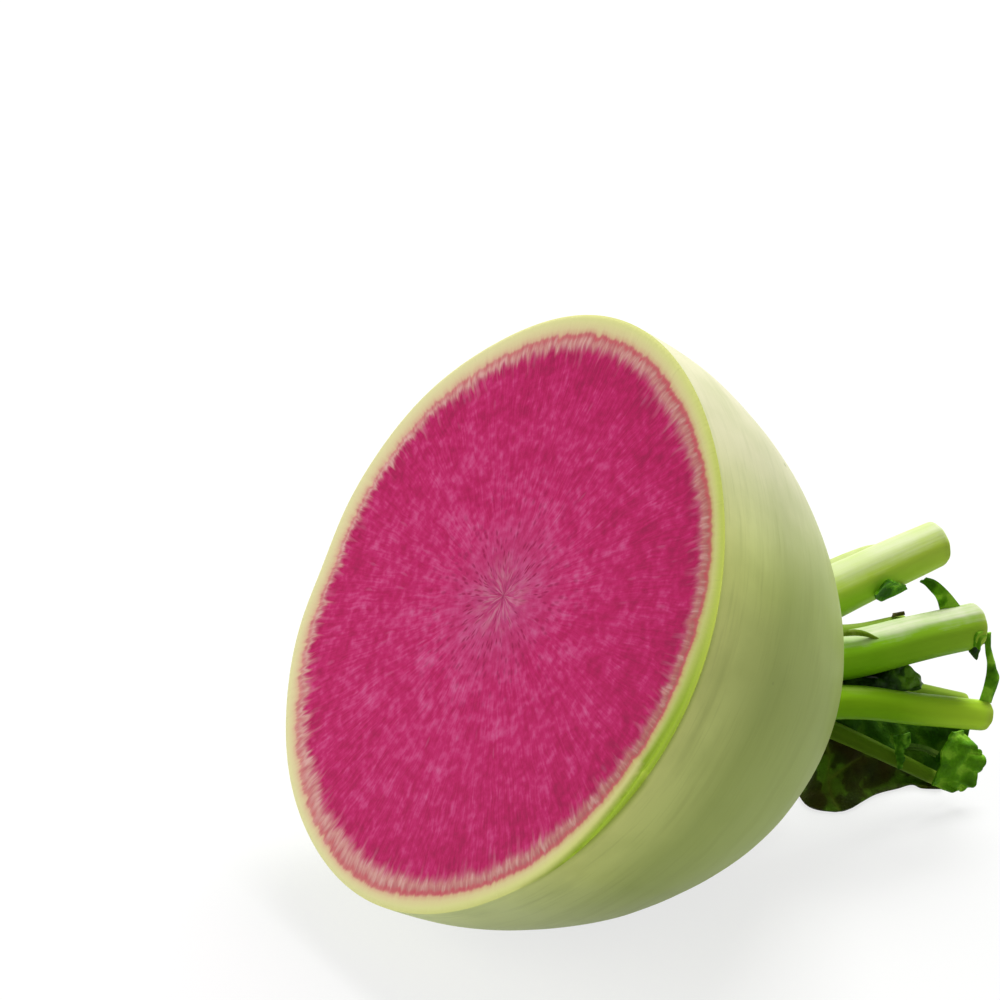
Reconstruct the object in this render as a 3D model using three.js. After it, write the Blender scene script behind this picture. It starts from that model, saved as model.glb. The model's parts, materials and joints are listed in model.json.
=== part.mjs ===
// The crown half of a watermelon radish, cut straight across, with its leaf stalks trimmed short.
// It lies on its round flank and on the lowest leaf, with the cut face tipped up.
//
// Millimetres, +Z up. The origin is the middle of the footprint, on the surface the radish lies on.
// The radish's own axis runs from the cut face toward +X and down to the crown. The crown carries
// the leaf stalks, and each stalk and each scrap of leaf is a piece of its own.
import * as THREE from 'three';

// ---------------------------------------------------------------- driving dimensions
const CUT_RADIUS = 42; // half the width of the cut face
const LEAN = THREE.MathUtils.degToRad(33.2); // the axis dips this far below the level
const NOSE = 55.7; // depth at which the round flank would close to a point
const FULLNESS = 2; // how long the flank stays wide before it turns in
const BLUNTNESS = 1.5; // how squarely it then closes
const CROWN_DEPTH = 48.5; // from the cut face to the flat crown where the leaves grow
const CROWN_RADIUS = 16; // half the width of that flat
const CENTRE_FROM_ORIGIN = new THREE.Vector2(-28.1, 0.5); // the cut face's centre in the footprint
const GAP = 0.3; // clear space between pieces that touch
const TAPER = 1.7; // how soon a stalk narrows after its foot
const FOOT_SHARE = 0.3; // share of a stalk over which its rings turn from the crown's plane to square

// The cut face is a little out of round: so many lobes, of this share of the radius, turned this far
const OUT_OF_ROUND = [
  { lobes: 2, share: 0.012, turn: -96 },
  { lobes: 3, share: 0.012, turn: -167 },
  { lobes: 4, share: 0.009, turn: -39 },
];

// How finely the surfaces are divided
const FLANK_STEPS = 18;
const ROUND_STEPS = 72;
const STALK_SIDES = 12;
const STALK_STEPS = 12;
const BLADE_STEPS = 12; // along a leaf
const BLADE_STRIPS = 8; // across a leaf

// ---------------------------------------------------------------- the radish's own directions
const UP = new THREE.Vector3(0, 0, 1);
const AXIS = new THREE.Vector3(Math.cos(LEAN), 0, -Math.sin(LEAN)); // cut face to crown
const SIDE = new THREE.Vector3(0, 1, 0);
const UPSLOPE = new THREE.Vector3(Math.sin(LEAN), 0, Math.cos(LEAN)); // up the cut face

// ---------------------------------------------------------------- materials
const material = (color, roughness) => new THREE.MeshStandardMaterial({ color, roughness, metalness: 0 });
const SKIN = material('#a9b46c', 0.45);
const STALK = material('#6f9a25', 0.4);
const PALE_STALK = material('#a3bd57', 0.4);
const LEAF = material('#3f6f14', 0.55);
const DARK_LEAF = material('#26330c', 0.6);

// ---------------------------------------------------------------- the radish half

// Radius of the round flank at a depth behind the cut face.
function flankRadius(depth) {
  return CUT_RADIUS * (1 - (depth / NOSE) ** FULLNESS) ** (1 / BLUNTNESS);
}

// Share by which the flank stands out of round, which fades away toward the crown.
function outOfRound(angle, depth) {
  const fade = (1 - depth / NOSE) ** 1.5;
  const wave = ({ lobes, share, turn }) => share * Math.cos(lobes * angle - THREE.MathUtils.degToRad(turn));
  return 1 + fade * OUT_OF_ROUND.reduce((sum, lobe) => sum + wave(lobe), 0);
}

// Depth of the ring at which the flank meets the crown's shoulder.
const SHOULDER_DEPTH = CROWN_DEPTH - 0.8;

// Half profile from the middle of the cut face, over the flank, to the middle of the crown.
function radishProfile() {
  const points = [new THREE.Vector2(0, 0)];
  const lastTurn = Math.asin(SHOULDER_DEPTH / NOSE);
  for (let i = 0; i <= FLANK_STEPS; i++) {
    const depth = NOSE * Math.sin((i / FLANK_STEPS) * lastTurn);
    points.push(new THREE.Vector2(flankRadius(depth), depth));
  }
  points.push(new THREE.Vector2(CROWN_RADIUS, CROWN_DEPTH), new THREE.Vector2(0, CROWN_DEPTH));
  return points;
}

// Height of the cut face's centre that lets the flank just touch the surface below.
function restingHeight() {
  let height = 0;
  for (const { x: radius, y: depth } of radishProfile()) {
    const scale = outOfRound(-Math.PI / 2, depth);
    height = Math.max(height, depth * Math.sin(LEAN) + radius * scale * Math.cos(LEAN));
  }
  return height;
}

// The lathe turns about its own Y, which is then laid along the radish's axis. Its -Z points up the cut face.
function radishHalf() {
  const geometry = new THREE.LatheGeometry(radishProfile(), ROUND_STEPS);
  const position = geometry.getAttribute('position');
  for (let i = 0; i < position.count; i++) {
    const [across, depth, upslope] = [position.getX(i), position.getY(i), -position.getZ(i)];
    const scale = outOfRound(Math.atan2(upslope, across), depth);
    position.setXYZ(i, across * scale, depth, -upslope * scale);
  }
  const mesh = new THREE.Mesh(geometry, SKIN);
  mesh.name = 'radish_half';
  mesh.quaternion.setFromRotationMatrix(
    new THREE.Matrix4().makeBasis(SIDE, AXIS, UPSLOPE.clone().negate()),
  );
  return mesh;
}

// ---------------------------------------------------------------- stalks and leaves
// Places on the leaf cluster are measured from the middle of the crown, with +Z up.

const CUT_HEIGHT = restingHeight();
const CROWN_HEIGHT = CUT_HEIGHT - CROWN_DEPTH * Math.sin(LEAN);

// A point just off the flat crown, so far across it and up its slope.
function onCrown([across, upslope]) {
  return new THREE.Vector3()
    .addScaledVector(AXIS, GAP)
    .addScaledVector(SIDE, across)
    .addScaledVector(UPSLOPE, upslope);
}

// Directions at a place on a curve: along it, level to its side, and square to both, turned by roll.
function frameOn(curve, t, roll) {
  const along = curve.getTangentAt(t);
  const level = along.clone().cross(UP).normalize();
  const lift = level.clone().cross(along);
  const turned = level.clone().multiplyScalar(Math.cos(roll)).addScaledVector(lift, Math.sin(roll));
  return { point: curve.getPointAt(t), side: turned, top: turned.clone().cross(along) };
}

// Moves each vertex of a unit solid that stands along Y onto a curve, as place(frame, x, t, z) says.
function wrapAlong(geometry, curve, roll, place) {
  const position = geometry.getAttribute('position');
  const origin = curve.getPoint(0);
  for (let i = 0; i < position.count; i++) {
    const t = THREE.MathUtils.clamp(position.getY(i) + 0.5, 0, 1);
    const frame = frameOn(curve, t, roll);
    const moved = place(frame, position.getX(i), t, position.getZ(i)).sub(origin);
    position.setXYZ(i, moved.x, moved.y, moved.z);
  }
  return geometry;
}

// A leaf stalk: its foot lies flat on the crown, and the far end is cut off square.
function stalk({ name, root, through, thick, flat = 0.92, look = STALK }) {
  const start = onCrown(root);
  const curve = new THREE.CatmullRomCurve3([start, ...through.map((p) => new THREE.Vector3(...p))]);
  const leaving = curve.getTangentAt(0);
  const blank = new THREE.CylinderGeometry(0.5, 0.5, 1, STALK_SIDES, STALK_STEPS);
  const geometry = wrapAlong(blank, curve, 0, ({ point, side, top }, x, t, z) => {
    const width = THREE.MathUtils.lerp(thick[0], thick[1], 1 - (1 - t) ** TAPER);
    const out = side.clone().multiplyScalar(x * width).addScaledVector(top, z * width * flat);
    const foot = Math.max(0, 1 - t / FOOT_SHARE);
    return point.add(out).addScaledVector(leaving, (-foot * out.dot(AXIS)) / leaving.dot(AXIS));
  });
  const mesh = new THREE.Mesh(geometry, look);
  mesh.name = name;
  mesh.position.copy(start);
  return mesh;
}

// A leaf blade along a curve. Its half width follows an arch from stem to tip, its edges droop or
// curl by `droop` millimetres, and `ruffle` waves them up and down.
function blade({ name, spine, half, roll = 0, droop = () => 0, ruffle = 0, thick = 0.8, look = LEAF }) {
  const curve = new THREE.CatmullRomCurve3(spine.map((p) => new THREE.Vector3(...p)));
  const blank = new THREE.BoxGeometry(2, 1, 1, BLADE_STRIPS, BLADE_STEPS, 1);
  const turn = THREE.MathUtils.degToRad(roll);
  const geometry = wrapAlong(blank, curve, turn, ({ point, side, top }, x, t, z) => {
    const width = half(t);
    const wave = ruffle * x * x * Math.sin(4.5 * Math.PI * t + (x > 0 ? 0.8 : 0));
    const lift = wave - droop(t) * Math.abs(x) ** 1.6;
    return point.addScaledVector(side, x * width).addScaledVector(top, lift + z * thick);
  });
  const mesh = new THREE.Mesh(geometry, look);
  mesh.name = name;
  mesh.position.copy(curve.getPoint(0));
  return mesh;
}

// Half width of a leaf of this greatest half width, narrowed at both ends.
const leafShape = (most, tip = 0.3) => (t) => most * (tip + (1 - tip) * Math.sin(Math.PI * Math.min(1, 0.15 + t * 0.8)));

// The leaf that lies on the surface is arched, and both its edges come down to the surface.
const GROUND_LEAF_THICK = 0.9;
const GROUND_LEAF_SPINE = [[11.2, 5.4, -9.6], [18, 4.4, -10.8], [26, 4, -12.8], [33, 2, -14.6]];
const groundLeafDroop = (t) => {
  const spine = new THREE.CatmullRomCurve3(GROUND_LEAF_SPINE.map((p) => new THREE.Vector3(...p)));
  return spine.getPointAt(t).z + CROWN_HEIGHT - GROUND_LEAF_THICK / 2;
};

// Each stalk: where it grows on the crown (across, up the slope), the places it passes through on its
// way to the cut, and how thick it is at the crown and at the cut.
const STALKS = [
  {
    name: 'upper_stalk', root: [7.3, 12.3], thick: [8.8, 6.6], look: PALE_STALK,
    through: [[19.7, 7.6, 12.2], [28.8, 8, 13.6], [37.2, 8.2, 15]],
  },
  {
    name: 'upper_rear_stalk', root: [13.6, 9], thick: [3.6, 2.4], look: PALE_STALK,
    through: [[23.3, 15, 11.2], [30.5, 17.3, 10.3]],
  },
  {
    name: 'middle_stalk', root: [-4.7, 11.8], thick: [7.3, 6.9],
    through: [[12.6, -5.2, 9.2], [23.6, -6, 9.3], [33.6, -6.7, 9.1]],
  },
  {
    name: 'middle_rear_stalk', root: [1, 14], thick: [2.6, 2.2],
    through: [[16.7, 0.9, 9], [26.6, 0.7, 8.3]],
  },
  {
    name: 'lower_stalk', root: [-9.4, 6.6], thick: [5.1, 4.7],
    through: [[9.7, -9.4, 4.4], [21.3, -10, 0.6], [32.7, -10.7, -3.1]],
  },
  {
    name: 'lower_rear_stalk', root: [0.8, 8.4], thick: [3, 2.4],
    through: [[24.4, -2.6, 0.1], [35.2, -2.9, -4.3]],
  },
  {
    name: 'leafy_stalk', root: [4.5, 2.5], thick: [3.4, 2.1],
    through: [[14.2, -1, -5.2], [21.1, -4.5, -9.4], [27.6, -7.1, -13.6]],
  },
  {
    name: 'ground_leaf_stalk', root: [1, -9], thick: [4.4, 1.8],
    through: [[2.5, 3, -8.5], [10, 4.4, -9.4]],
  },
  {
    name: 'far_upper_stalk', root: [12.5, -0.5], thick: [6.4, 5.6],
    through: [[9, 14, -4], [17, 16, -6]],
  },
  {
    name: 'far_lower_stalk', root: [9, -9], thick: [6, 5.2],
    through: [[4, 11, -10.5], [13, 14, -14.6]],
  },
];

// Each leaf: the line from its stem end to its tip, its half width along it, how far it is rolled
// about that line, and how its edges droop and ruffle.
const LEAVES = [
  {
    name: 'ruffled_leaf', half: leafShape(4.6, 0.6), roll: 62, ruffle: 0.9,
    spine: [[15, 1.4, -3.4], [22, -0.6, -7.6], [29, -3.8, -11], [35, -6.8, -12.6]],
  },
  {
    name: 'ground_leaf', spine: GROUND_LEAF_SPINE, half: leafShape(6.6, 0.5), droop: groundLeafDroop,
    thick: GROUND_LEAF_THICK, look: DARK_LEAF,
  },
  {
    name: 'leaf_sliver', half: (t) => 1.4 - 1.1 * t, roll: 90,
    spine: [[35.6, 2, 6.4], [34.3, 2, 9.9], [30.2, 2, 13.7]],
  },
  {
    name: 'leaf_ribbon', half: (t) => 0.7 + 0.7 * Math.sin(Math.PI * t ** 1.4), roll: 40, thick: 0.6,
    spine: [[36.4, -5, 5], [37.5, -5.8, 2.8], [37, -6.8, 0], [35.2, -7.2, -3.6]],
  },
  {
    name: 'curled_leaflet', half: leafShape(1.9, 0.5), roll: 50, droop: () => 0.8, thick: 1,
    spine: [[9, -3.2, 4.8], [14.2, -4, 3.8], [19.5, -4.6, 3.2], [24.7, -5, 2]], look: DARK_LEAF,
  },
  {
    name: 'upper_leaflet', half: leafShape(2, 0.4), roll: 40, thick: 0.8,
    spine: [[23.2, 3.7, 10.5], [26, 3.7, 11], [29, 4.1, 11.8]],
  },
  {
    name: 'middle_leaflet', half: leafShape(1.4, 0.3), roll: 40, thick: 0.6,
    spine: [[29.8, -9.6, 6.8], [31.4, -9.9, 6.2], [33.2, -9.8, 6]],
  },
];

// ---------------------------------------------------------------- assembly
const radish = new THREE.Group();
radish.add(radishHalf());

const leafCluster = new THREE.Group();
leafCluster.position.copy(AXIS).multiplyScalar(CROWN_DEPTH);
leafCluster.add(...STALKS.map(stalk), ...LEAVES.map(blade));
radish.add(leafCluster);

radish.position.set(CENTRE_FROM_ORIGIN.x, CENTRE_FROM_ORIGIN.y, CUT_HEIGHT);

const group = new THREE.Group();
group.add(radish);

export default group;
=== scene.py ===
"""Looks of a watermelon radish half, cut across, with its cut leaf stalks and scraps of leaf.

Every size in this file is in millimetres. A piece is modelled in millimetres, either in the radish's
own frame or from the middle of its crown, and its mesh is written in metres when it is placed.
"""

import json
import logging
import math
from contextlib import contextmanager
from dataclasses import dataclass
from enum import Enum
from functools import cache, partial
from typing import Callable, Iterator, Sequence

import bpy
import numpy as np
from mathutils import Matrix, Vector, noise


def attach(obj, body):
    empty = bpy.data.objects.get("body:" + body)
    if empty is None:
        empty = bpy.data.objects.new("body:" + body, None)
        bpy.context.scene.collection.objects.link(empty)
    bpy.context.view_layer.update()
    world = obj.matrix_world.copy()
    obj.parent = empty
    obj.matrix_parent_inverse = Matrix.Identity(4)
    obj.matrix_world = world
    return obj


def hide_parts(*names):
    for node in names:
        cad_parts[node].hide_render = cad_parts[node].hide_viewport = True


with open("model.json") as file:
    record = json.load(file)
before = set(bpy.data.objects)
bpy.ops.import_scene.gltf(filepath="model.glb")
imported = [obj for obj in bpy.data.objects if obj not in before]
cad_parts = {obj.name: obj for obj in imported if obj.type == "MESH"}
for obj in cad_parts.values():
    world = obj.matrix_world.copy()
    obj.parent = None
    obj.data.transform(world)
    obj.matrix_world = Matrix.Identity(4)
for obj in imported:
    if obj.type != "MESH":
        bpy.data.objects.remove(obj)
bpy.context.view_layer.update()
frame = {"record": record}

MM = 0.001
FULL_TURN = 2 * math.pi
OWN_PLACE = "own_place"
NEAR = 0.01
ABOVE_FLOOR = 0.1

log = logging.getLogger("watermelon_radish")
Point = tuple[float, float, float]
Node = bpy.types.Node
Value = bpy.types.NodeSocket | Node
Adder = Callable[..., Node]
Paint = tuple[Node, Value, float]
Coat = tuple[Value, float, float, Value | float, str]


class Slot(Enum):
    """The finishes that the record names."""

    RADISH = "radish"
    PALE_STALK = "pale_stalk"
    STALK = "stalk"
    LEAF = "leaf"
    DARK_LEAF = "dark_leaf"


# ---- Small tools: colours, nodes, meshes, waves ----


def linear(hex_colour: str) -> tuple[float, float, float, float]:
    """Turns an sRGB hex colour into the linear values that a shader takes.

    Args:
        hex_colour: a colour such as "#B7265D".

    Returns:
        Red, green, blue and an alpha of 1, all linear.
    """
    parts = [int(hex_colour[i : i + 2], 16) / 255 for i in (1, 3, 5)]
    low = [c / 12.92 if c <= 0.04045 else ((c + 0.055) / 1.055) ** 2.4 for c in parts]
    return (*low, 1.0)


def add_node(
    tree: bpy.types.NodeTree,
    kind: str,
    inputs: dict | Sequence = (),
    stops: dict[float, str] | None = None,
    **settings,
) -> Node:
    """Adds one node to a material, with its settings and its links.

    Args:
        tree: the node tree that takes the node.
        kind: the node's type name, without its "ShaderNode".
        inputs: for each input, by name or in the node's own order, a value, an sRGB hex colour, an
            output, or a node whose first output it takes.
        stops: for a colour ramp, the sRGB hex colour at each place.
        settings: the node's own settings.

    Returns:
        The new node.
    """
    node = tree.nodes.new("ShaderNode" + kind)
    for name, value in settings.items():
        setattr(node, name, value)
    for key, value in inputs.items() if isinstance(inputs, dict) else enumerate(inputs):
        by_name = (s for s in node.inputs if s.enabled and s.name == key)
        socket = node.inputs[key] if isinstance(key, int) else next(by_name)
        if isinstance(value, Node):
            value = next(s for s in value.outputs if s.enabled)
        if isinstance(value, bpy.types.NodeSocket):
            tree.links.new(value, socket)
        else:
            socket.default_value = linear(value) if isinstance(value, str) else value
    for number, (place, colour) in enumerate((stops or {}).items()):
        elements = node.color_ramp.elements
        element = elements[number] if number < 2 else elements.new(place)
        element.position = place
        element.color = linear(colour)
    return node


def drawn_out(add: Adder, place: Value, scale: Point, detail: float = 2.0) -> Node:
    """Noise drawn out to fibres or lines: scale is how many fit in a millimetre along each axis."""
    spread = add("Mapping", {"Vector": place, "Scale": scale})
    return add("TexNoise", {"Vector": spread, "Scale": 1.0, "Detail": detail})


def specks(add: Adder, place: Value, scale: Point, rim: tuple[float, float], shown: float) -> Node:
    """Scatters specks.

    Args:
        add: adds a node to the material.
        place: the spot on the piece.
        scale: how many specks fit in a millimetre along each axis.
        rim: how far out a speck starts, and how far out it is full.
        shown: what share of the specks shows.

    Returns:
        A mask that is 1 on a speck.
    """
    spread = add("Mapping", {"Vector": place, "Scale": scale})
    cell = add("TexVoronoi", {"Vector": spread, "Scale": 1.0})
    kept = add("Math", (cell.outputs["Color"], 1 - shown), operation="GREATER_THAN")
    speck = {"Value": cell.outputs["Distance"], "From Min": rim[0], "From Max": rim[1], "To Max": kept}
    return add("MapRange", speck)


def around(add: Adder, place: Value, along: Value) -> Node:
    """Gives a spot by its heading round the axis, for patterns that run along it or round it.

    Args:
        add: adds a node to the material.
        place: the spot, flattened onto the plane across the axis.
        along: the number that it gets as z.

    Returns:
        The heading, of length 1, with the number as z.
    """
    heading = add("VectorMath", (place,), operation="NORMALIZE")
    up = add("CombineXYZ", {"Z": along})
    return add("VectorMath", (heading, up), operation="ADD")


def coated(add: Adder, colour: Value | str, coats: Sequence[Coat]) -> Node:
    """Lays coats of colour over each other, each where its pattern shows it.

    Args:
        add: adds a node to the material.
        colour: the colour below them all.
        coats: for each coat its pattern, where on the pattern it starts and where it is full, how much
            it covers there, and its sRGB hex colour.

    Returns:
        The colour on top.
    """
    for pattern, start, full, cover, shade in coats:
        mask = add("MapRange", {"Value": pattern, "From Min": start, "From Max": full, "To Max": cover})
        colour = add("Mix", {"Factor": mask, "A": colour, "B": shade}, data_type="RGBA")
    return colour


def pick(*pieces: bpy.types.Object) -> None:
    """Selects some pieces and nothing else.

    Args:
        pieces: the pieces; the first one becomes active.
    """
    for other in bpy.context.selected_objects:
        other.select_set(False)
    for piece in pieces:
        piece.select_set(True)
    bpy.context.view_layer.objects.active = pieces[0]


@contextmanager
def edit_mode(piece: bpy.types.Object) -> Iterator[None]:
    """Opens a piece in edit mode, all of it selected, and closes it again.

    Args:
        piece: the object to edit.
    """
    pick(piece)
    bpy.ops.object.mode_set(mode="EDIT")
    bpy.ops.mesh.select_all(action="SELECT")
    yield
    bpy.ops.object.mode_set(mode="OBJECT")


def corners(piece: bpy.types.Object) -> np.ndarray:
    """Reads a piece's vertices.

    Args:
        piece: the object to read.

    Returns:
        One row per vertex.
    """
    flat = np.empty(len(piece.data.vertices) * 3)
    piece.data.vertices.foreach_get("co", flat)
    return flat.reshape(-1, 3)


def move_corners(piece: bpy.types.Object, places: np.ndarray) -> None:
    """Writes a piece's vertices back from an array with one row each."""
    piece.data.vertices.foreach_set("co", places.ravel())
    piece.data.update()


def store(piece: bpy.types.Object, **patterns: np.ndarray) -> None:
    """Keeps numbers or vectors on the vertices, for the materials to read.

    Args:
        piece: the object that takes them.
        patterns: for each attribute's name, one number or one row of three per vertex.
    """
    for name, values in patterns.items():
        kind, key = ("FLOAT", "value") if values.ndim == 1 else ("FLOAT_VECTOR", "vector")
        attribute = piece.data.attributes.new(name, kind, "POINT")
        attribute.data.foreach_set(key, np.ascontiguousarray(values, dtype=np.float32).ravel())


def apply_modifier(piece: bpy.types.Object, kind: str, **settings) -> None:
    """Adds a modifier to a piece and applies it.

    Args:
        piece: the object to change.
        kind: the modifier's type name.
        settings: the modifier's settings.
    """
    modifier = piece.modifiers.new(kind.lower(), kind)
    for name, value in settings.items():
        setattr(modifier, name, value)
    bpy.context.view_layer.objects.active = piece
    bpy.ops.object.modifier_apply(modifier=modifier.name)


def hand_over(piece: bpy.types.Object, node: str, slot: Slot) -> None:
    """Ties a finished piece to the frame.

    Args:
        piece: the piece, in its place.
        node: the CAD node that it stands for.
        slot: the record's finish that it stands for; not used.
    """
    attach(piece, "root")
    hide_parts(node)
    log.info("%s: %d faces", piece.name, len(piece.data.polygons))


def smooth_step(low: float, high: float, value: np.ndarray) -> np.ndarray:
    """Rises smoothly from 0 where value is low to 1 where it is high."""
    t = np.clip((value - low) / (high - low), 0, 1)
    return t * t * (3 - 2 * t)


def bell(value: np.ndarray, middle: float, width: float) -> np.ndarray:
    """A bump of height 1 at the middle that fades out over the width."""
    return np.exp(-(((value - middle) / width) ** 2))


def turn_bell(turn: np.ndarray, middle: float, width: float) -> np.ndarray:
    """A bump of height 1 at a turn, in degrees, that fades out over the width round the axis."""
    return bell((turn - middle + 180) % 360 - 180, 0, width)


def lumps(places: np.ndarray, size: float) -> np.ndarray:
    """Smooth unevenness, about -1 to 1, at each place, with lumps that are a size apart."""
    return np.array([noise.noise(Vector(place) / size) for place in places])


# ---- Where the radish lies ----


@dataclass(frozen=True)
class Lie:
    """Where the radish lies: the middle of its cut face and its own axes in the shared frame."""

    cut_centre: Vector
    out: Vector
    side: Vector
    upslope: Vector

    @classmethod
    def from_record(cls, record: dict) -> "Lie":
        """Reads the lie from the record's mount on the cut face.

        Args:
            record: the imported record.

        Returns:
            The lie, with the centre in millimetres.
        """
        mount = next(m for m in record["mounts"] if m["name"] == "cut_face")
        out = Vector(mount["axis"]).normalized()
        side = Vector((0, 1, 0))
        return cls(Vector(mount["pos_m"]) / MM, out, side, side.cross(out))

    def place(self) -> Matrix:
        """From the radish's own frame, x up the cut, y across it and z out of it, to the shared one."""
        turned = Matrix((self.upslope, self.side, self.out)).transposed().to_4x4()
        return Matrix.Scale(MM, 4) @ Matrix.Translation(self.cut_centre) @ turned

    def crown_centre(self, depth: float) -> Vector:
        """The middle of the crown, at a depth behind the cut face."""
        return self.cut_centre - self.out * depth


# ---- Finishes ----


@dataclass(frozen=True)
class Finish:
    """What every finish has: its name, how rough it is and how much it shines."""

    name: str
    roughness: float = 0.45
    shine: float = 0.3

    def paint(self, add: Adder) -> Paint:
        """Makes the colour and the fine relief; each finish has its own.

        Args:
            add: adds a node to the material.

        Returns:
            The colour, the relief from 0 to 1, and the relief's full height in millimetres.
        """
        raise NotImplementedError(self.name)

    @cache
    def build(self) -> bpy.types.Material:
        """Builds the material, once for all the pieces that have it.

        Returns:
            The material.
        """
        material = bpy.data.materials.new(self.name)
        material.use_nodes = True
        tree = material.node_tree
        tree.nodes.clear()
        add = partial(add_node, tree)
        colour, relief, height = self.paint(add)
        bump = add("Bump", {"Height": relief, "Distance": height * MM})
        surface = {"Base Color": colour, "Normal": bump}
        surface |= {"Roughness": self.roughness, "Specular IOR Level": self.shine}
        add("OutputMaterial", {"Surface": add("BsdfPrincipled", surface)})
        return material


@dataclass(frozen=True)
class CutFlesh(Finish):
    """Raw radish, sliced with a knife: moist magenta flesh with rays, in a thin pale green rind.

    The rays are bundles of vessels, 0.4 mm wide, that run from the pith to the rind. They give the eye
    fine radial streaks, ragged white ends where the pink stops, and a ring of salmon dashes. Outer rays
    are given by how many lie side by side, how long they are and how far out they start.
    """

    pith: tuple[float, float] = (2.3, 0.5)
    drift: float = 0.6
    outer_rays: tuple[Point, ...] = ((20, 2, 4.5), (42, 3, 11), (84, 4, 23))

    def round_pith(self, add: Adder, place: Value) -> tuple[Node, Node]:
        """Finds where a spot is round the pith, with the slight drift that keeps rays from being ruled.

        Args:
            add: adds a node to the material.
            place: the spot on the radish.

        Returns:
            How far out it is, and its heading with how far out as z.
        """
        drift = add("TexNoise", {"Vector": place, "Scale": 0.2, "Detail": 1.0}).outputs["Color"]
        centre = tuple(-self.drift - middle for middle in self.pith)
        drift = (drift, (2 * self.drift, 2 * self.drift, 0), (*centre, 0))
        drift = add("VectorMath", drift, operation="MULTIPLY_ADD")
        centred = add("VectorMath", (place, drift), operation="ADD")
        flat = add("VectorMath", (centred, (1, 1, 0)), operation="MULTIPLY")
        reach = add("VectorMath", (flat,), operation="LENGTH")
        return reach, around(add, flat, reach)

    def paint(self, add: Adder) -> Paint:
        """Paints the flesh, the ring and the rind.

        Args:
            add: adds a node to the material.

        Returns:
            The colour, the relief and its height.
        """
        place = add("Attribute", attribute_name=OWN_PLACE).outputs["Vector"]
        rind = add("Attribute", attribute_name="rind").outputs["Fac"]
        reach, polar = self.round_pith(add, place)

        def rays(count: float, length: float, detail: float = 2.0) -> Node:
            """Streaks that run outwards: how many, over a sixth of a turn, and how long in millimetres."""
            return drawn_out(add, polar, (count, count, 1 / length), detail)

        fibre = rays(9.0, 1.6)
        for count, length, start in self.outer_rays:
            share = {"Value": reach, "From Min": 0.8 * start, "From Max": 1.2 * start}
            share = add("MapRange", share)
            fibre = add("Mix", {"Factor": share, "A": fibre, "B": rays(count, length)})
        ring, layer = self.ring(add, rind, rays)

        flesh = self.flesh(add, place, rind, reach, fibre)
        near = add("MapRange", {"Value": reach, "From Min": 21.0, "From Max": 6.0, "To Max": 0.9})
        dark_fleck = specks(add, polar, (17, 17, 1 / 1.4), (0.5, 0.2), 0.5)
        pale_fleck = specks(add, polar, (30, 30, 1 / 3.4), (0.36, 0.144), 0.16)
        heart = add("MapRange", {"Value": reach, "From Min": 6.5, "From Max": 2.0, "To Max": 0.6})
        star = rays(5.5, 2.2)
        fading = add("MapRange", {"Value": layer, "From Min": 1.6, "From Max": 1.0, "To Max": 0.45})
        coats = (
            (reach, 13.0, 3.0, 0.5, "#B24474"),
            (dark_fleck, 0.0, 1.0, near, "#960F48"),
            (pale_fleck, 0.0, 1.0, 0.16, "#D683AC"),
            (star, 0.46, 0.66, heart, "#CC8A9C"),
            (star, 0.42, 0.32, heart, "#97305C"),
            (rays(44.0, 9.0), 0.52, 0.7, fading, "#D78AA0"),
        )
        flesh = coated(add, flesh, coats)
        inside = add("MapRange", {"Value": layer, "From Min": 0.9, "From Max": 1.16})
        colour = add("Mix", {"Factor": inside, "A": ring, "B": flesh}, data_type="RGBA")
        return colour, fibre, 0.08

    def flesh(self, add: Adder, place: Value, rind: Value, reach: Value, fibre: Value) -> Node:
        """Paints the magenta flesh: blotchy, mealy and fibrous.

        Args:
            add: adds a node to the material.
            place: the spot on the radish.
            rind: how far in through the rind it is.
            reach: how far out from the pith it is.
            fibre: the rays.

        Returns:
            The colour.
        """
        blotch = add("TexNoise", {"Vector": place, "Scale": 0.22, "Detail": 4.0})
        mealy = add("TexNoise", {"Vector": place, "Scale": 0.8, "Detail": 3.0})
        dusty = {"Value": reach, "From Min": 2.0, "From Max": 24.0, "To Min": 0.07, "To Max": -0.02}
        dusty = add("MapRange", dusty)
        rim_deep = {"Value": rind, "From Min": 1.0, "From Max": 3.2, "To Min": -0.07, "To Max": 0.0}
        rim_deep = add("MapRange", rim_deep)
        slant = add("VectorMath", (place, (-0.018, 0.016, 0)), operation="DOT_PRODUCT")
        tone = 0.2
        shares = ((blotch, 0.42), (mealy, 0.47), (fibre, 0.3), (dusty, 1), (rim_deep, 1), (slant, 0.03))
        for pattern, share in shares:
            tone = add("Math", (pattern, share, tone), operation="MULTIPLY_ADD")
        stops = {0.58: "#A3144E", 0.70: "#B41658", 0.79: "#C02166", 0.88: "#CA3E7A", 0.98: "#CF5A8C"}
        return add("ValToRGB", {"Fac": tone}, stops)

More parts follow.
